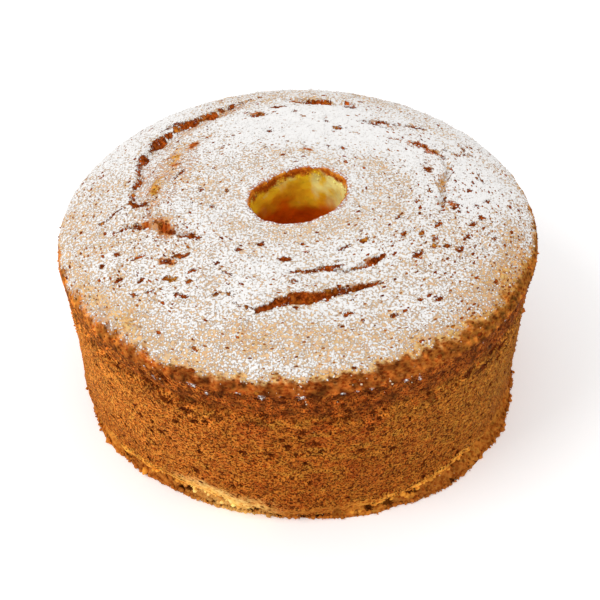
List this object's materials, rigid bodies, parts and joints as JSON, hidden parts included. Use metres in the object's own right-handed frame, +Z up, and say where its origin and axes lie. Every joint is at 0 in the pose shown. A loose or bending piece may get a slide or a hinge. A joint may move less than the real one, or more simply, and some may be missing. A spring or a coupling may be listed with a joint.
{
  "type": "ring cake",
  "caption": "Tall sponge ring cake with a low cracked dome, a browned wall that narrows to a torn base, a hole through its middle and a dusting of fine sugar.",
  "frame": {"origin": "middle of the flat base, on the surface the cake stands on", "axes": "+Z up along the axis of the hole; the front that the picture shows faces -Y, and +X is to its right"},
  "size_m": [0.2208, 0.2233, 0.1055],
  "materials": {
    "crust": "dry, finely porous golden-brown sponge crust",
    "sugar": "matt white powdered sugar"
  },
  "bodies": {
    "root": {"cake": "crust"}
  },
  "joints": []
}
